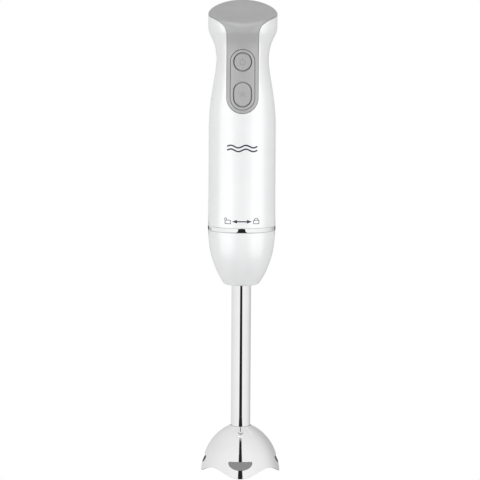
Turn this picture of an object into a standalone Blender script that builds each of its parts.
"""Immersion blender with a twist-lock blending arm, modelled as the pieces it comes apart into.

Lengths below are in millimetres and angles in degrees; the shape helpers turn them into Blender's
metres. The object stands on its bell: +Z runs up the common axis of motor, shaft and tube, and -Y is
the front, where the buttons are. The origin is on that axis, at the height of the bell's lowest points.
"""

import math

import bmesh
import bpy
from mathutils import Matrix, Vector

MM = 0.001
GAP = 0.3                 # clearance between neighbouring pieces
WALL = 2.2                # thickness of the plastic shells

# Heights along the common axis.
BELL_NECK_Z = 38.0        # top of the bell, where the tube comes out
TUBE_Z = (33.2, 190.0)
CONE_BOTTOM_Z = 156.7
CONE_TOP_Z = 200.2
RING_BOTTOM_Z = CONE_TOP_Z + GAP
RING_TOP_Z = 203.7
HOUSING_BOTTOM_Z = RING_TOP_Z + GAP
RIM_Z = 374.7             # height of the slanted rim at the sides
ABOVE_HEAD_Z = 392.0

# Radii and slopes.
BELL_WALL = 0.8
TUBE_RADIUS = 8.0
TUBE_WALL = 0.8
RING_RADIUS = 27.5
HEAD_RADIUS = 27.8
SHAFT_RADIUS = 2.5
SHAFT_FIT = 0.15          # clearance of what sits on the motor shaft or the drive shaft
BUSH_FIT = 0.12           # clearance of what the shafts turn in
CAP_EDGE = 1.2            # visible thickness of the grey cap at the sides
CAP_DEPTH = 3.2           # thickness of the cap inside the shell
BODY_SEGMENTS = 32

# Outer radius of the handle against height, from the seam at the bottom to the head.
HANDLE_OUTLINE = [
    (204.0, 27.45), (228.0, 27.15), (284.0, 27.15), (300.0, 26.2), (315.0, 24.3), (328.0, 22.0),
    (338.5, 21.1), (346.0, 21.75), (352.5, 23.85), (358.5, 26.65), (363.5, HEAD_RADIUS),
    (ABOVE_HEAD_Z, HEAD_RADIUS),
]

# Outer radius of the bell against height: nearly upright at the rim, a shallow shoulder at the neck.
BELL_OUTLINE = [
    (0.0, 32.5), (5.0, 31.8), (10.0, 30.7), (15.0, 29.1), (20.0, 27.0), (25.0, 23.9), (30.0, 19.6),
    (33.0, 16.1), (35.0, 13.3), (37.0, 9.8), (BELL_NECK_Z, TUBE_RADIUS + GAP),
]

# Side view of the top, as (y, z): it falls towards the front and rolls over a soft chin.
TOP_PROFILE = [
    (34.0, 389.6), (27.8, 386.4), (18.0, 381.8), (8.0, 377.6), (0.0, RIM_Z), (-9.0, 371.7),
    (-17.0, 369.5), (-21.5, 367.6), (-25.0, 364.9), (-27.2, 361.2), (-28.6, 356.0), (-34.0, 350.0),
]

# Grey front panel and the buttons in it.
STRIP_HALF_WIDTH = 12.65
STRIP_END_Z = 308.2       # centre of the round lower end, shared with the bezel and the lower button
STRIP_FLARE_Z = 357.0
BEZEL_HALF_WIDTH = 10.05
POWER_Z = 336.4
BUTTON_RADIUS = 6.75
TURBO_STRAIGHT = 5.0      # straight stretch between the two round ends of the lower button
BUTTON_SLOT = 0.45
BUTTON_PROUD = 0.35
BUTTON_TRAVEL = 1.5
FLANGE_RADIUS = 8.3
POWER_FLANGE_Y = -16.4
TURBO_FLANGE_Y = -18.4
FLANGE_THICKNESS = 1.2
STEM_RADIUS = 1.6
STEM_END_Y = -11.5
CARRIER_Y = (-9.5, -8.0)
SWITCH_FRONT_Y = -7.7
BOARD_Y = (-1.1, 0.5)

# Where the mains lead would enter.
GLAND_Z = 368.0
GLAND_HOLE_RADIUS = 5.3
CLAMP_Z = 355.0
CLAMP_SCREW_X = 7.5

# Bayonet between the motor unit and the arm.
HUB_RADIUS = 15.5
LUG_RADIUS = 18.6
LUG_HALF_ANGLE = 9.0
LUG_Z = (208.3, 211.3)
LUG_CENTRES = (30.0, 150.0, 270.0)
LEDGE_RADIUS = 16.2
CAVITY_RADIUS = 19.2
TWIST = 25.0              # from the middle position to either padlock
KEY_RADIUS = 23.4
SOCKET_SCREW_Y = 10.2
SOCKET_FLOOR_Z = (213.0, 215.5)
MARK_HALF_WIDTH = 2.8
MARK_Z = (201.1, 203.1)

# Motor.
STATOR_Z = (236.0, 262.0)
STATOR_RADIUS = 23.5
STATOR_BORE = 12.6
ARMATURE_RADIUS = 12.0
SLOTS = 11
FAN_BLADES = 9
BRUSH_Z = 274.0
COMMUTATOR_Z = (269.0, 279.0)
FAN_Z = (225.2, 226.2)
SCREW_X = 21.05
SCREW_SEAT_Z = 218.7
BRACKET_RADIUS = 23.5
UPPER_BRACKET_Z = (280.0, 289.0)
LOWER_BRACKET_Z = (216.3, 224.2)
BEARING_RADIUS = 5.0

# Blade and bell.
BLADE_Z = 12.0
BLADE_THICKNESS = 1.2
BLADE_REACH = 23.0
ARCH_HEIGHT = 7.0
LOBES = 4
SLOT_HALF_WIDTH = 9.5
SLOT_Z = (7.0, 13.6)
BELL_SEGMENTS = 48
BELL_SHARES = (0.0, 0.24, 0.45, 0.63, 0.78, 0.91, 1.0)


# ---------------------------------------------------------------- scene and materials

def clear_scene():
    for obj in list(bpy.data.objects):
        bpy.data.objects.remove(obj)


def new_collection(name):
    collection = bpy.data.collections.new(name)
    bpy.context.scene.collection.children.link(collection)
    return collection


clear_scene()
PARTS = new_collection("immersion_blender")
CUTTERS = new_collection("cutters")


def plastic_or_metal(name, colour, roughness, metallic=0.0):
    made = bpy.data.materials.new(name)
    made.use_nodes = True
    shader = made.node_tree.nodes["Principled BSDF"]
    shader.inputs["Base Color"].default_value = (*colour, 1.0)
    shader.inputs["Roughness"].default_value = roughness
    shader.inputs["Metallic"].default_value = metallic
    return made


WHITE = plastic_or_metal("white_plastic", (0.86, 0.86, 0.86), 0.25)
GREY = plastic_or_metal("grey_plastic", (0.42, 0.42, 0.42), 0.45)
CHROME = plastic_or_metal("chrome", (0.8, 0.8, 0.8), 0.08, 1.0)
STEEL = plastic_or_metal("polished_steel", (0.72, 0.72, 0.73), 0.12, 1.0)
BLACK = plastic_or_metal("black_plastic", (0.02, 0.02, 0.02), 0.4)
INNER = plastic_or_metal("inner_plastic", (0.25, 0.26, 0.28), 0.5)
LAMINATION = plastic_or_metal("laminated_iron", (0.35, 0.36, 0.38), 0.4, 1.0)
COPPER = plastic_or_metal("copper_winding", (0.72, 0.33, 0.18), 0.35, 1.0)
BRASS = plastic_or_metal("brass", (0.75, 0.6, 0.3), 0.3, 1.0)
BRONZE = plastic_or_metal("sintered_bronze", (0.55, 0.4, 0.24), 0.5, 1.0)
CARBON = plastic_or_metal("carbon", (0.05, 0.05, 0.055), 0.6)
RUBBER = plastic_or_metal("rubber", (0.03, 0.03, 0.03), 0.8)
SPRING = plastic_or_metal("spring_steel", (0.6, 0.6, 0.62), 0.25, 1.0)
BOARD = plastic_or_metal("circuit_board", (0.08, 0.25, 0.12), 0.5)
FILM = plastic_or_metal("capacitor_case", (0.7, 0.55, 0.1), 0.4)


# ---------------------------------------------------------------- shape helpers

def add_object(name, mesh, finish):
    """Links the mesh as a part, or as a hidden cutter when it has no finish."""
    obj = bpy.data.objects.new(name, mesh)
    if finish is None:
        CUTTERS.objects.link(obj)
        obj.hide_render = True
        obj.display_type = "WIRE"
    else:
        PARTS.objects.link(obj)
        obj.data.materials.append(finish)
    return obj


def from_bmesh(name, bm, finish):
    bmesh.ops.recalc_face_normals(bm, faces=bm.faces)
    mesh = bpy.data.meshes.new(name)
    bm.to_mesh(mesh)
    bm.free()
    return add_object(name, mesh, finish)


def turned(name, profile, finish, segments=BODY_SEGMENTS):
    """A turned piece about Z, from (radius, z) points down the outer side and up the inner side.

    A profile that starts and ends on the axis is left open there. Facets face +X, +Y, -X and -Y.
    """
    on_axis = profile[0][0] == 0 and profile[-1][0] == 0
    points = [(r * MM, 0.0, z * MM) for r, z in profile]
    edges = [(i, i + 1) for i in range(len(points) - 1)]
    if not on_axis:
        edges.append((len(points) - 1, 0))
    mesh = bpy.data.meshes.new(name)
    mesh.from_pydata(points, edges, [])
    obj = add_object(name, mesh, finish)
    screw = obj.modifiers.new("turn", "SCREW")
    screw.axis = "Z"
    screw.angle = math.tau
    screw.steps = segments
    screw.render_steps = segments
    screw.use_merge_vertices = True
    screw.merge_threshold = 0.00001
    screw.use_smooth_shade = True
    obj.rotation_euler.z = math.pi / segments
    return obj


def ring(name, inner, outer, z0, z1, finish, segments=20):
    return turned(name, [(outer, z1), (outer, z0), (inner, z0), (inner, z1)], finish, segments)


def rod(name, radius, start, end, finish, segments=14):
    """A cylinder from one point to another."""
    start, end = Vector(start), Vector(end)
    bm = bmesh.new()
    bmesh.ops.create_cone(
        bm, cap_ends=True, segments=segments, radius1=radius * MM, radius2=radius * MM,
        depth=(end - start).length * MM)
    turn = (end - start).to_track_quat("Z", "Y").to_matrix().to_4x4()
    obj = from_bmesh(name, bm, finish)
    obj.matrix_world = Matrix.Translation((start + end) / 2 * MM) @ turn
    return obj


def block(name, low, high, finish):
    """A box between its lowest and highest corners."""
    low, high = Vector(low), Vector(high)
    bm = bmesh.new()
    bmesh.ops.create_cube(bm, size=1.0, matrix=Matrix.Diagonal((*((high - low) * MM), 1.0)))
    obj = from_bmesh(name, bm, finish)
    obj.location = (low + high) / 2 * MM
    return obj


def slab(name, outlines, low, high, finish, along="Z"):
    """Flat outlines, the outer one first and any holes after it, from low to high along an axis.

    Along Z the outlines are (x, y); along Y they are (x, z); along X they are (y, z).
    """
    curve = bpy.data.curves.new(name, "CURVE")
    curve.dimensions = "2D"
    curve.fill_mode = "BOTH"
    curve.extrude = (high - low) / 2 * MM
    for outline in outlines:
        spline = curve.splines.new("POLY")
        spline.points.add(len(outline) - 1)
        for point, (u, v) in zip(spline.points, outline):
            point.co = (u * MM, v * MM, 0.0, 1.0)
        spline.use_cyclic_u = True
    guide = bpy.data.objects.new(name + "_outline", curve)
    CUTTERS.objects.link(guide)
    bpy.context.view_layer.update()
    graph = bpy.context.evaluated_depsgraph_get()
    mesh = bpy.data.meshes.new_from_object(guide.evaluated_get(graph))
    bpy.data.objects.remove(guide)
    bm = bmesh.new()
    bm.from_mesh(mesh)
    bmesh.ops.remove_doubles(bm, verts=bm.verts, dist=0.000001)
    bpy.data.meshes.remove(mesh)
    obj = from_bmesh(name, bm, finish)
    middle = (low + high) / 2 * MM
    upright = math.radians(90)
    if along == "Z":
        obj.location = (0, 0, middle)
    elif along == "Y":
        obj.location = (0, middle, 0)
        obj.rotation_euler = (upright, 0, 0)
    else:
        obj.location = (middle, 0, 0)
        obj.rotation_euler = (upright, 0, upright)
    return obj


def combine(obj, other, operation):
    modifier = obj.modifiers.new(other.name, "BOOLEAN")
    modifier.operation = operation
    modifier.object = other
    modifier.solver = "EXACT"


def cut(obj, *others):
    for other in others:
        combine(obj, other, "DIFFERENCE")


def join(obj, *others):
    for other in others:
        combine(obj, other, "UNION")


def keep_inside(obj, other):
    combine(obj, other, "INTERSECT")


def arc(radius, start, end, steps, centre=(0.0, 0.0)):
    """Points along an arc, both ends included."""
    angles = [math.radians(start + (end - start) * i / steps) for i in range(steps + 1)]
    return [(centre[0] + radius * math.cos(a), centre[1] + radius * math.sin(a)) for a in angles]


def circle(radius, segments=14, centre=(0.0, 0.0)):
    return arc(radius, 0, 360, segments, centre)[:-1]


def stadium(half_width, low, high, steps=11):
    """An upright outline with round ends, whose centres are at the heights low and high."""
    return arc(half_width, 180, 360, steps, (0, low)) + arc(half_width, 0, 180, steps, (0, high))


def sector(inner, outer, start, end, steps=4):
    return arc(outer, start, end, steps) + arc(inner, end, start, steps)


def radial_slots(outer, root, slot_width, count):
    """A round outline with open slots cut in towards its centre, one point on each corner."""
    points = []
    step = 360 / count
    for i in range(count):
        at_root = math.degrees(math.asin(slot_width / 2 / root))
        at_rim = math.degrees(math.asin(slot_width / 2 / outer))
        middle = i * step
        points += arc(root, middle - at_root, middle + at_root, 1)
        points += arc(outer, middle + at_rim, middle + step - at_rim, 2)
    return points


def helix(name, radius, wire, start, end, turns, finish, per_turn=8):
    """A coil spring along Y from start to end, as one swept wire."""
    curve = bpy.data.curves.new(name, "CURVE")
    curve.dimensions = "3D"
    curve.bevel_depth = wire * MM
    curve.bevel_resolution = 0
    curve.use_fill_caps = True
    spline = curve.splines.new("POLY")
    count = turns * per_turn
    spline.points.add(count)
    x, y, z = start
    for i, point in enumerate(spline.points):
        angle = math.tau * i / per_turn
        across = x + radius * math.cos(angle)
        along = y + (end - y) * i / count
        up = z + radius * math.sin(angle)
        point.co = (across * MM, along * MM, up * MM, 1.0)
    obj = bpy.data.objects.new(name, curve)
    PARTS.objects.link(obj)
    obj.data.materials.append(finish)
    return obj


def joint_origin(name, at, *pieces):
    """An empty on a joint's axis, which carries the pieces that move together."""
    empty = bpy.data.objects.new(name, None)
    PARTS.objects.link(empty)
    empty.location = Vector(at) * MM
    bpy.context.view_layer.update()
    for piece in pieces:
        piece.parent = empty
        piece.matrix_parent_inverse = empty.matrix_world.inverted()
    return empty


# ---------------------------------------------------------------- the handle's shell

def radius_at(outline, z):
    """Radius of a (z, radius) outline at a height."""
    for (z0, r0), (z1, r1) in zip(outline, outline[1:]):
        if z0 <= z <= z1:
            return r0 + (r1 - r0) * (z - z0) / (z1 - z0)
    return outline[0][1]


def handle_skin(bottom, thickness, proud=0.0):
    """Profile of a shell with the handle's outer form, from a height upwards."""
    levels = [(z, r) for z, r in HANDLE_OUTLINE if z > bottom]
    levels.insert(0, (bottom, radius_at(HANDLE_OUTLINE, bottom)))
    outer = [(r + proud, z) for z, r in reversed(levels)]
    inner = [(r - thickness, z) for z, r in levels]
    return outer + inner


def above_top(name, drop):
    """A cutter for everything above the top's curve, or above that curve lowered by drop."""
    outline = [(y, z - drop) for y, z in TOP_PROFILE]
    outline += [(TOP_PROFILE[-1][0], 420), (TOP_PROFILE[0][0], 420)]
    return slab(name, [outline], -40, 40, None, "X")


def below_top(name, drop):
    """A cutter for everything from the middle of the handle up to the top's curve lowered by drop."""
    outline = [(y, z - drop) for y, z in TOP_PROFILE]
    outline += [(TOP_PROFILE[-1][0], 280), (TOP_PROFILE[0][0], 280)]
    return slab(name, [outline], -45, 45, None, "X")


def strip_outline(inset):
    """Front view of the grey strip: round at the bottom, straight up the waist, flaring out to the rim."""
    half = STRIP_HALF_WIDTH - inset
    flare = [(half + 0.9, 361.0), (half + 3.0, 364.8), (half + 6.4, 367.8), (half + 11.0, 370.4)]
    right = [(half, STRIP_FLARE_Z)]
    right += [(x, z + inset) for x, z in flare]
    right += [(40.0, 377.0 + inset), (40.0, 420.0)]
    left = [(-x, z) for x, z in reversed(right)]
    return arc(half, 180, 360, 11, (0, STRIP_END_Z)) + right + left


def bezel_outline(inset):
    return stadium(BEZEL_HALF_WIDTH - inset, STRIP_END_Z, POWER_Z)


def housing_shells():
    front = turned("front_housing", handle_skin(HOUSING_BOTTOM_Z, WALL), WHITE)
    rear = turned("rear_housing", handle_skin(HOUSING_BOTTOM_Z, WALL), WHITE)
    above_seam = above_top("above_seam", CAP_EDGE)
    behind = block("behind_seam", (-40, -GAP / 2, 190), (40, 60, 400), None)
    ahead = block("ahead_of_seam", (-40, -60, 190), (40, GAP / 2, 400), None)
    opening = slab("strip_opening", [strip_outline(0)], -45, -2, None, "Y")
    cut(front, behind, above_seam, opening)
    hole = rod("gland_hole", GLAND_HOLE_RADIUS, (0, 20, GLAND_Z), (0, 40, GLAND_Z), None, 20)
    cut(rear, ahead, above_seam, hole)
    for side in (-1, 1):
        x = side * CLAMP_SCREW_X
        join(rear, rod(f"clamp_boss_{side}", 3.0, (x, 15, CLAMP_Z), (x, 22.6, CLAMP_Z), None, 10))
        cut(rear, rod(f"clamp_pilot_{side}", 1.5, (x, 14, CLAMP_Z), (x, 19.6, CLAMP_Z), None, 10))


def top_panel():
    """The grey moulding: a dished cap that runs down the front as the button strip."""
    outline = handle_skin(294, WALL)
    half = len(outline) // 2
    panel = turned("top_panel", [(0, ABOVE_HEAD_Z), *outline[:half], (0, 294)], GREY)
    hollow = turned("panel_hollow", [(0, ABOVE_HEAD_Z), *reversed(outline[half:]), (0, 290)], None)
    cut(hollow, above_top("cap_underside", CAP_DEPTH))
    shell_space = below_top("shell_space", CAP_EDGE - GAP)
    plug_radius = HEAD_RADIUS - WALL - GAP
    cut(shell_space, slab("strip_body", [strip_outline(GAP)], -50, -2 - GAP, None, "Y"))
    cut(shell_space, rod("cap_plug", plug_radius, (0, 0, 364), (0, 0, 400), None, BODY_SEGMENTS))
    cut(panel, hollow, shell_space, above_top("panel_top", 0.0), dish_cutter())
    cut(panel, slab("bezel_opening", [bezel_outline(0)], -45, -2, None, "Y"))


def dish_cutter():
    """A shallow lens, wider across than along the slope, sunk into the top."""
    depth = 1.2
    width = 21.0
    bowl = [(width * share, depth * (share ** 2 - 1)) for share in (1.04, 0.75, 0.5, 0.25)]
    dish = turned("dish", [(0, 4.0), (bowl[0][0], 4.0), *bowl, (0, -depth)], None, 28)
    slant = Matrix.Rotation(math.radians(20), 4, "X")
    dish.matrix_world = Matrix.Translation((0, 0, RIM_Z * MM)) @ slant @ Matrix.Diagonal((1, 0.72, 1, 1))
    return dish


# ---------------------------------------------------------------- buttons and switches

def button_bezel():
    bezel = turned("button_bezel", handle_skin(294, WALL + 0.2), GREY)
    keep_inside(bezel, slab("bezel_body", [bezel_outline(GAP)], -45, -2, None, "Y"))
    slot_radius = BUTTON_RADIUS + BUTTON_SLOT
    cut(bezel, slab("power_slot", [circle(slot_radius, 22, (0, POWER_Z))], -45, -2, None, "Y"))
    cut(bezel, slab("turbo_slot", [turbo_outline(slot_radius)], -45, -2, None, "Y"))


def turbo_outline(radius):
    return stadium(radius, STRIP_END_Z, STRIP_END_Z + TURBO_STRAIGHT, 9)


def push_button(name, outline, flange, flange_y, stem_z):
    """A cap whose face follows the handle, a flange that holds it behind the bezel, and a stem."""
    button = slab(name, [outline], -45, flange_y + 0.2, GREY, "Y")
    skin = handle_skin(292, 0.0, BUTTON_PROUD)
    outside = skin[:len(skin) // 2]
    keep_inside(button, turned(name + "_face", [(0, ABOVE_HEAD_Z), *outside, (0, 292)], None))
    join(button, slab(name + "_flange", [flange], flange_y, flange_y + FLANGE_THICKNESS, None, "Y"))
    start = (0, flange_y + FLANGE_THICKNESS - 0.3, stem_z)
    join(button, rod(name + "_stem", STEM_RADIUS, start, (0, STEM_END_Y, stem_z), None, 10))
    return button


def buttons():
    turbo_z = STRIP_END_Z + TURBO_STRAIGHT / 2
    power_outlines = [circle(radius, 22, (0, POWER_Z)) for radius in (BUTTON_RADIUS, FLANGE_RADIUS)]
    turbo_outlines = [turbo_outline(radius) for radius in (BUTTON_RADIUS, FLANGE_RADIUS)]
    keys = (
        ("power", power_outlines, POWER_FLANGE_Y, POWER_Z),
        ("turbo", turbo_outlines, TURBO_FLANGE_Y, turbo_z),
    )
    for kind, outlines, flange_y, z in keys:
        button = push_button(f"{kind}_button", *outlines, flange_y, z)
        plunger_start, plunger_end = STEM_END_Y + GAP, SWITCH_FRONT_Y + 1.2
        plunger = rod(f"{kind}_plunger", 1.0, (0, plunger_start, z), (0, plunger_end, z), BLACK, 10)
        spring_start = flange_y + FLANGE_THICKNESS + GAP + 0.3
        spring_end = CARRIER_Y[0] - GAP - 0.3
        helix(f"{kind}_spring", 3.0, 0.3, (0, spring_start, z), spring_end, 4, SPRING)
        joint_origin(f"{kind}_press", (0, flange_y, z), button, plunger)
        case = block(f"{kind}_switch", (-6.4, SWITCH_FRONT_Y, z - 5), (6.4, -1.6, z + 5), BLACK)
        cut(case, rod(f"{kind}_switch_bore", 1.35, (0, -12, z), (0, SWITCH_FRONT_Y + 3.5, z), None, 10))


def switch_carrier():
    """The plate behind the buttons, with two side rails that reach back to the circuit board."""
    front, back = CARRIER_Y
    carrier = block("switch_carrier", (-12.5, front, 299), (12.5, back, 347), INNER)
    for side in (-1, 1):
        inner, outer = sorted((side * 10.3, side * 12.5))
        join(carrier, block(f"carrier_rail_{side}", (inner, front + 0.5, 303), (outer, -1.4, 343), None))
    for z in (POWER_Z, STRIP_END_Z + TURBO_STRAIGHT / 2):
        cut(carrier, rod(f"carrier_hole_{z:.0f}", 2.2, (0, -12, z), (0, -6, z), None, 10))


def electronics():
    block("circuit_board", (-12, BOARD_Y[0], 300), (12, BOARD_Y[1], 346), BOARD)
    block("suppression_capacitor", (-7, 0.8, 302), (7, 9.0, 316), FILM)


def cord_entry():
    """The gland that the mains lead would enter by, and the bar that would clamp it, without the lead."""
    profile = [
        (4.4, 3.6), (5.6, 3.0), (6.4, 1.6), (6.6, 0.3), (5.0, 0.3), (5.0, -3.4), (6.2, -3.4),
        (6.2, -4.6), (3.4, -4.6), (3.4, 3.6),
    ]
    gland = turned("cord_gland", profile, GREY, 16)
    wall = Matrix.Translation((0, HEAD_RADIUS * MM, GLAND_Z * MM))
    gland.matrix_world = wall @ Matrix.Rotation(math.radians(-90), 4, "X")
    clamp = block("cord_clamp", (-11, 12.4, CLAMP_Z - 2.8), (11, 14.6, CLAMP_Z + 2.8), INNER)
    for side, label in ((-1, "left"), (1, "right")):
        x = side * CLAMP_SCREW_X
        cut(clamp, rod(f"clamp_hole_{label}", 1.5, (x, 10, CLAMP_Z), (x, 17, CLAMP_Z), None, 10))
        screw(f"clamp_screw_{label}", (x, 12.1, CLAMP_Z), (0, 1, 0), 6.8, 1.2)


def screw(name, seat, direction, length, radius):
    """A pan-head screw whose head rests on seat and whose shank runs along direction."""
    head = 2 * radius
    dome = [(0, 1.3), (head * 0.7, 1.2), (head, 0.5), (head, 0)]
    shank = [(radius, 0), (radius, -length + 1), (0, -length)]
    shape = turned(name, dome + shank, STEEL, 9)
    slot = block(name + "_slot", (-head - 1, -0.3, 0.8), (head + 1, 0.3, 2), None)
    turn = (-Vector(direction)).to_track_quat("Z", "Y").to_matrix().to_4x4()
    place = Matrix.Translation(Vector(seat) * MM) @ turn
    slot.matrix_world = place @ slot.matrix_basis
    shape.matrix_world = place
    cut(shape, slot)
    return shape


# ---------------------------------------------------------------- motor

def stator():
    low, high = STATOR_Z
    core = slab("stator_core", [circle(STATOR_RADIUS, 32), circle(STATOR_BORE, 24)], low, high, LAMINATION)
    for side in (-1, 1):
        near, far = sorted((side * 12.9, side * 17.6))
        for half in (-1, 1):
            inner, outer = sorted((half * 9.2, half * 14.3))
            corners = (inner, near, low - 2), (outer, far, high + 2)
            cut(core, block(f"coil_window_{side}_{half}", *corners, None))
        flat = sorted((side * 21.5, side * 30))
        cut(core, block(f"stator_flat_{side}", (-30, flat[0], low - 2), (30, flat[1], high + 2), None))
        x = side * SCREW_X
        cut(core, rod(f"stator_hole_{side}", 1.9, (x, 0, low - 2), (x, 0, high + 2), None, 10))
    outer = rounded_box(14.0, 18.5, 3.0)
    window = rounded_box(9.5, 13.8, 1.5)
    middle = (low + high) / 2
    for side, label in ((-1, "front"), (1, "rear")):
        near, far = sorted((side * 13.2, side * 17.3))
        loop = [[(x, z + middle) for x, z in outline] for outline in (outer, window)]
        slab(f"field_coil_{label}", loop, near, far, COPPER, "Y")


def rounded_box(half_width, half_height, radius, steps=3):
    corners = [(1, 1, 0), (-1, 1, 90), (-1, -1, 180), (1, -1, 270)]
    points = []
    for sx, sy, start in corners:
        centre = (sx * (half_width - radius), sy * (half_height - radius))
        points += arc(radius, start, start + 90, steps, centre)
    return points


def rotor():
    low, high = STATOR_Z[0] + 1, STATOR_Z[1] - 1
    shaft = rod("motor_shaft", SHAFT_RADIUS, (0, 0, 209), (0, 0, 290), STEEL)
    bore = circle(SHAFT_RADIUS + SHAFT_FIT, 16)
    sheets = [radial_slots(ARMATURE_RADIUS, 6.0, 3.0, SLOTS), bore]
    core = slab("armature_core", sheets, low, high, LAMINATION)
    upper_turns = [(4, high + 6.5), (8.5, high + 6.2), (10.4, high + 4), (10.6, high)]
    lower_turns = [(10.6, low), (10.4, low - 4), (8.5, low - 5.4), (4, low - 5.6)]
    winding = turned("armature_winding", upper_turns + lower_turns, COPPER, 18)
    cut(winding, slab("core_relief", [radial_slots(14, 6.3, 2.4, SLOTS)], low - GAP, high + GAP, None))
    commutator = slab("commutator", [radial_slots(8.0, 7.3, 0.5, SLOTS), bore], *COMMUTATOR_Z, COPPER)
    fan = cooling_fan()
    coupling = dog_coupling("drive_coupling", 210.5, 215.5, 204.5, 0)
    joint_origin("rotor_axis", (0, 0, 250), shaft, core, winding, commutator, fan, coupling)


def cooling_fan():
    """A disc with straight blades standing on it."""
    fan = ring("cooling_fan", SHAFT_RADIUS + SHAFT_FIT, 18.0, *FAN_Z, INNER, 32)
    blades = slab("fan_blades", [radial_bars(17.6, 5.0, 1.2, FAN_BLADES)], 225.8, 229.4, None)
    cut(blades, rod("fan_bore", SHAFT_RADIUS + 0.6, (0, 0, 220), (0, 0, 235), None))
    join(fan, blades)
    return fan


def radial_bars(reach, hub, width, count):
    """The outline of a hub with thin bars standing out from it."""
    points = []
    step = 360 / count
    for i in range(count):
        middle = i * step
        at_hub = math.degrees(math.asin(width / 2 / hub))
        at_tip = math.degrees(math.asin(width / 2 / reach))
        points += arc(reach, middle - at_tip, middle + at_tip, 1)
        points += arc(hub, middle + at_hub, middle + step - at_hub, 1)
    return points


def dog_coupling(name, hub_low, hub_high, dog_end, turn):
    """Half of the clutch between motor and arm: a hub with two dogs that reach past the other half's."""
    hub = ring(name, SHAFT_RADIUS + SHAFT_FIT, 6.0, hub_low, hub_high, INNER, 24)
    for i, start in enumerate((turn - 15, turn + 165)):
        low, high = sorted((dog_end, (hub_low + hub_high) / 2))
        join(hub, slab(f"{name}_dog_{i}", [sector(3.2, 5.8, start, start + 30)], low, high, None))
    return hub


def brackets():
    """End brackets of the motor, held together through the stator by two long screws."""
    upper = bracket("upper_bracket", UPPER_BRACKET_Z, (283, 286), (STATOR_Z[1] + GAP, 284))
    lower = bracket("lower_bracket", LOWER_BRACKET_Z, (219, 222), (221, STATOR_Z[0] - GAP))
    for side in (-1, 1):
        x, y = side * SCREW_X, side * SOCKET_SCREW_Y
        cut(lower, rod(f"lower_screw_hole_{side}", 1.8, (x, 0, 214), (x, 0, 240), None, 10))
        cut(upper, rod(f"upper_screw_hole_{side}", 1.75, (x, 0, 250), (x, 0, 275), None, 10))
        join(lower, rod(f"socket_boss_{side}", 2.6, (0, y, 215.8), (0, y, 220), None, 10))
        cut(lower, rod(f"socket_pilot_{side}", 1.5, (0, y, 214), (0, y, 221), None, 10))
        near, far = sorted((side * 11.0, side * 20.5))
        join(upper, block(f"holder_arm_{side}", (-4.5, near, 278), (4.5, far, 284), None))
    for side, label in ((-1, "left"), (1, "right")):
        screw(f"motor_screw_{label}", (side * SCREW_X, 0, SCREW_SEAT_Z), (0, 0, 1), 54, 1.4)


def bracket(name, seat, plate, pillars):
    """A bearing seat in a round plate, with two pillars that reach to the stator."""
    made = ring(name, BEARING_RADIUS + GAP, 7.5, *seat, INNER)
    join(made, bracket_plate(name + "_plate", *plate))
    for side in (-1, 1):
        near, far = sorted((side * 19.0, side * 22.9))
        join(made, block(f"{name}_pillar_{side}", (near, -4, pillars[0]), (far, 4, pillars[1]), None))
    return made


def bracket_plate(name, low, high):
    """A round plate with four air openings."""
    openings = [sector(14.0, 18.2, start + 15, start + 75, 4) for start in (0, 90, 180, 270)]
    return slab(name, [circle(BRACKET_RADIUS, 26), *openings, circle(6.4, 14)], low, high, None)


def brushes():
    for side, label in ((-1, "front"), (1, "rear")):
        near, far = sorted((side * 9.6, side * 21.0))
        low, high = BRUSH_Z - 3.7, BRUSH_Z + 3.7
        holder = block(f"brush_holder_{label}", (-3.3, near, low), (3.3, far, high), BRASS)
        low, high = BRUSH_Z - 2.9, BRUSH_Z + 2.9
        cut(holder, block(f"brush_well_{label}", (-2.5, -30, low), (2.5, 30, high), None))
        near, far = sorted((side * 8.4, side * 15.5))
        low, high = BRUSH_Z - 2.6, BRUSH_Z + 2.6
        block(f"carbon_brush_{label}", (-2.2, near, low), (2.2, far, high), CARBON)
        helix(f"brush_spring_{label}", 1.6, 0.25, (0, side * 16.1, BRUSH_Z), side * 20.6, 4, SPRING, 8)


def bearings():
    ring("upper_bearing", SHAFT_RADIUS + BUSH_FIT, BEARING_RADIUS, 281, 288, BRONZE)
    ring("lower_bearing", SHAFT_RADIUS + BUSH_FIT, BEARING_RADIUS, 217, 223.5, BRONZE)
    ring("motor_mount_ring", BRACKET_RADIUS + GAP, 24.55, 282.5, 286.5, RUBBER, 32)


# ---------------------------------------------------------------- bayonet socket and lock ring

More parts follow.
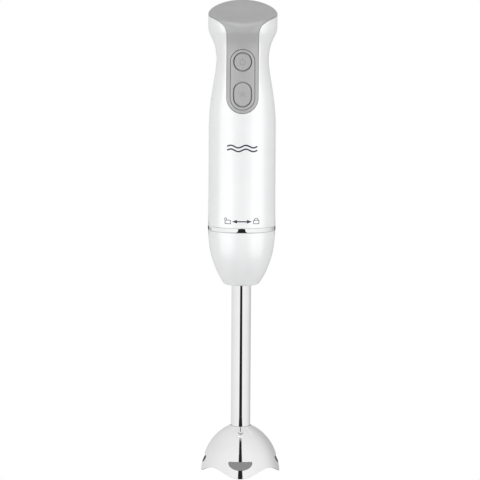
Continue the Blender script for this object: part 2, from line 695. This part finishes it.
def bayonet_socket():
    """Closes the motor unit: a cup whose mouth has three ledges that the arm's lugs turn over."""
    ceiling, top = SOCKET_FLOOR_Z
    mouth = HOUSING_BOTTOM_Z + 0.4
    outside = [(24.7, top), (24.7, mouth), (22.2, mouth)]
    snap_groove = [(22.2, 205.1), (22.9, 205.1), (22.9, 207.0), (20.4, 207.0)]
    cavity = [(20.4, mouth), (CAVITY_RADIUS, mouth), (CAVITY_RADIUS, ceiling), (7.4, ceiling), (7.4, top)]
    socket = turned("bayonet_socket", outside + snap_groove + cavity, INNER)
    wall = CAVITY_RADIUS + 0.6
    for i, centre in enumerate(LUG_CENTRES):
        stop = TWIST + LUG_HALF_ANGLE + 1.5
        ledge = sector(LEDGE_RADIUS, wall, centre + LUG_HALF_ANGLE + 3, centre + 120 - stop, 6)
        join(socket, slab(f"ledge_{i}", [ledge], 204.7, LUG_Z[0] - 0.6, None))
        end_stop = sector(LEDGE_RADIUS + 0.6, wall - 0.2, centre + stop, centre + 119 - stop, 3)
        join(socket, slab(f"stop_{i}", [end_stop], 206.0, 213.6, None))
    for side, label in ((-1, "front"), (1, "rear")):
        y = side * SOCKET_SCREW_Y
        cut(socket, rod(f"socket_hole_{label}", 1.6, (0, y, 210), (0, y, 218), None, 10))
        screw(f"socket_screw_{label}", (0, y, ceiling - GAP), (0, 0, 1), 7.0, 1.2)


def lock_ring():
    """The polished ring between housing and arm.

    Its inner skirt snaps into the socket, and the arm's two keys turn it.
    """
    inner = CAVITY_RADIUS + 0.1
    snap = [(20.8, 206.6), (22.5, 206.0), (22.5, 205.4), (21.8, 205.4), (21.8, RING_TOP_Z)]
    band = [(RING_RADIUS, RING_TOP_Z), (RING_RADIUS, RING_BOTTOM_Z), (inner, RING_BOTTOM_Z)]
    lock = turned("lock_ring", snap + band + [(inner, RING_TOP_Z), (20.8, RING_TOP_Z)], CHROME)
    for side in (-1, 1):
        x = side * KEY_RADIUS
        cut(lock, rod(f"key_hole_{side}", 1.8, (x, 0, 199), (x, 0, 202.7), None, 10))
    low, high = MARK_Z
    half = MARK_HALF_WIDTH + GAP
    cut(lock, block("mark_pocket", (-half, -28.5, low - GAP), (half, -26.9, high + GAP), None))
    mark = block("index_mark", (-MARK_HALF_WIDTH, -27.6, low), (MARK_HALF_WIDTH, -27.2, high), BLACK)
    joint_origin("lock_axis", (0, 0, RING_BOTTOM_Z), lock, mark)


# ---------------------------------------------------------------- blending arm

def cone_radius(z):
    """The white cone narrows from the ring to the tube along a power curve."""
    drop = (CONE_TOP_Z - z) / (CONE_TOP_Z - CONE_BOTTOM_Z)
    return RING_RADIUS - 0.1 - 12.7 * drop ** 2.15


def coupling_cone():
    levels = [CONE_BOTTOM_Z + 0.9]
    levels += [CONE_BOTTOM_Z + (CONE_TOP_Z - CONE_BOTTOM_Z) * i / 4 for i in range(1, 5)]
    outer = [(cone_radius(z), z) for z in reversed(levels)]
    outer += [(cone_radius(CONE_BOTTOM_Z) - 0.9, CONE_BOTTOM_Z - 0.1)]
    outer += [(TUBE_RADIUS + GAP, CONE_BOTTOM_Z - 1.6)]
    inner = [(TUBE_RADIUS + GAP, CONE_BOTTOM_Z + 1.6)]
    inner += [(cone_radius(z) - WALL, z) for z in levels if z > CONE_BOTTOM_Z + 2]
    return turned("coupling_cone", outer + inner, WHITE)


def coupling_hub():
    """The core of the cone: a sleeve on the tube, a seat for the upper bush and the bayonet's lugs."""
    flange = RING_RADIUS - 0.1 - WALL - GAP
    sleeve = TUBE_RADIUS + GAP
    outer = [(HUB_RADIUS, 211.5), (HUB_RADIUS, CONE_TOP_Z)]
    outer += [(flange, CONE_TOP_Z), (flange, 197), (11, 197), (11, 182)]
    bore = [(sleeve, 182), (sleeve, 190.3), (5.3, 190.3), (5.3, 199.6), (13.2, 199.6), (13.2, 211.5)]
    hub = turned("coupling_hub", outer + bore, INNER, 24)
    for i, centre in enumerate(LUG_CENTRES):
        lug = sector(HUB_RADIUS - 1, LUG_RADIUS, centre - LUG_HALF_ANGLE, centre + LUG_HALF_ANGLE)
        join(hub, slab(f"lug_{i}", [lug], *LUG_Z, None))
    for side in (-1, 1):
        x = side * KEY_RADIUS
        join(hub, rod(f"key_{side}", 1.3, (x, 0, 198.5), (x, 0, 202.3), None, 10))
    return hub


def bush_carrier():
    """The plug in the tube's lower end that holds the lower bush and the seal."""
    outside = [(6.9, 46), (6.9, 33), (9.6, 32.6), (10.2, 30), (9.0, 20)]
    bore = [(6.3, 20), (6.3, 25.5), (5.3, 25.5), (5.3, 46)]
    return turned("bush_carrier", outside + bore, INNER, 20)


def shaft_seal():
    lip = [(5.2, 20.3), (2.75, 22.3), (2.75, 23.0)]
    return turned("shaft_seal", [(6.0, 25.2), (6.0, 20.6), *lip, (3.6, 25.2)], RUBBER, 20)


def arm():
    pieces = [
        coupling_cone(),
        coupling_hub(),
        ring("shaft_tube", TUBE_RADIUS - TUBE_WALL, TUBE_RADIUS, *TUBE_Z, STEEL, 32),
        ring("upper_bush", SHAFT_RADIUS + BUSH_FIT, BEARING_RADIUS, 190.6, 199.3, BRONZE, 20),
        bush_carrier(),
        ring("lower_bush", SHAFT_RADIUS + BUSH_FIT, BEARING_RADIUS, 26.0, 44, BRONZE, 20),
        shaft_seal(),
        bell_guard(),
    ]
    joint_origin("arm_axis", (0, 0, CONE_TOP_Z), *pieces)


def rim_height(angle):
    """Four low points with small flats to stand on, and an arch between each two."""
    flat = 0.07
    wave = (1 - math.cos(LOBES * angle)) / 2
    return ARCH_HEIGHT * max(0.0, wave - flat) / (1 - flat)


def bell_row(bm, share, thickness):
    """One ring of vertices, from the rim at share 0 to the neck at 1, sunk by the wall's thickness."""
    row = []
    for i in range(BELL_SEGMENTS):
        angle = math.tau * i / BELL_SEGMENTS
        foot = rim_height(angle)
        z = foot + (BELL_NECK_Z - foot) * share
        r = max(radius_at(BELL_OUTLINE, z) - thickness, TUBE_RADIUS + GAP)
        z -= thickness * 0.7 * share
        row.append(bm.verts.new((r * math.cos(angle) * MM, r * math.sin(angle) * MM, z * MM)))
    return row


def slot_outline():
    """A half-moon, flat side up."""
    top = SLOT_Z[1]
    side = top - 1.4
    depth = side - SLOT_Z[0]
    outline = [(SLOT_HALF_WIDTH - 1.2, top), (-SLOT_HALF_WIDTH + 1.2, top)]
    for x, drop in arc(1.0, 180, 360, 8):
        outline.append((SLOT_HALF_WIDTH * x, side + depth * drop))
    return outline


def bell_guard():
    """The steel bell, lofted from its wavy rim to its round neck, with a half-moon slot over each foot."""
    bm = bmesh.new()
    outside = [bell_row(bm, share, 0.0) for share in BELL_SHARES]
    inside = [bell_row(bm, share, BELL_WALL) for share in BELL_SHARES]
    strips = outside + inside[::-1]
    for lower, upper in zip(strips, strips[1:] + strips[:1]):
        for i in range(BELL_SEGMENTS):
            j = (i + 1) % BELL_SEGMENTS
            bm.faces.new((lower[i], lower[j], upper[j], upper[i]))
    bell = from_bmesh("bell_guard", bm, STEEL)
    across = slab("slots_front_rear", [slot_outline()], -45, 45, None, "Y")
    sideways = slab("slots_left_right", [slot_outline()], -45, 45, None, "Y")
    sideways.rotation_euler.z = math.radians(90)
    cut(bell, across, sideways)
    return bell


# ---------------------------------------------------------------- blade shaft

def blade_shaft():
    shaft = rod("drive_shaft", SHAFT_RADIUS, (0, 0, 9.6), (0, 0, 206.0), STEEL)
    coupling = dog_coupling("driven_coupling", 201.2, 204.2, 209.9, 90)
    clip = ring("shaft_clip", SHAFT_RADIUS + SHAFT_FIT, 4.6, 199.9, 200.7, SPRING, 16)
    cut(clip, block("clip_mouth", (0, -1.6, 199), (6, 1.6, 202), None))
    bore = SHAFT_RADIUS + SHAFT_FIT
    hub_low = BLADE_Z + BLADE_THICKNESS + GAP
    boss = [(3.6, 19.0), (4.6, 18.0), (4.6, hub_low + 0.5), (4.2, hub_low)]
    hub = turned("blade_hub", boss + [(bore, hub_low), (bore, 19.0)], STEEL, 20)
    nut_high = BLADE_Z - GAP
    nut = turned("blade_nut", [(0, nut_high), (4.6, nut_high), (4.6, 9.4), (3.6, 8.4), (0, 7.9)], STEEL, 6)
    cut(nut, rod("nut_bore", bore, (0, 0, 9.3), (0, 0, 20), None))
    joint_origin("blade_axis", (0, 0, BLADE_Z), shaft, coupling, clip, hub, blade(), nut)


def blade():
    """Two curved wings from one strip of steel: the tip of one is bent up and the other's down."""
    half = 5.0
    outline = []
    for turn in (0, 180):
        leading = [(4.5, -half), (13.0, -half + 0.6), (BLADE_REACH - 2.0, -1.4), (BLADE_REACH, 1.6)]
        trailing = [(BLADE_REACH - 1.2, 4.4), (13.0, half - 0.4), (6.0, half)]
        wing = Matrix.Rotation(math.radians(turn), 2)
        outline += [tuple(wing @ Vector(point)) for point in leading + trailing]
    bore = circle(SHAFT_RADIUS + SHAFT_FIT, 16)
    made = slab("blade", [outline, bore], BLADE_Z, BLADE_Z + BLADE_THICKNESS, STEEL)
    bm = bmesh.new()
    bm.from_mesh(made.data)
    fold = 11.0 * MM
    for x in (-fold, fold):
        geometry = list(bm.verts) + list(bm.edges) + list(bm.faces)
        bmesh.ops.bisect_plane(bm, geom=geometry, plane_co=(x, 0, 0), plane_no=(1, 0, 0), dist=1e-7)
    slope = math.tan(math.radians(24))
    for vertex in bm.verts:
        beyond = abs(vertex.co.x) - fold
        if beyond > 0:
            rise = slope if vertex.co.x > 0 else -slope * 0.45
            vertex.co.z += beyond * rise
    bm.to_mesh(made.data)
    bm.free()
    return made


housing_shells()
top_panel()
button_bezel()
buttons()
switch_carrier()
electronics()
cord_entry()
stator()
rotor()
brackets()
brushes()
bearings()
bayonet_socket()
lock_ring()
arm()
blade_shaft()
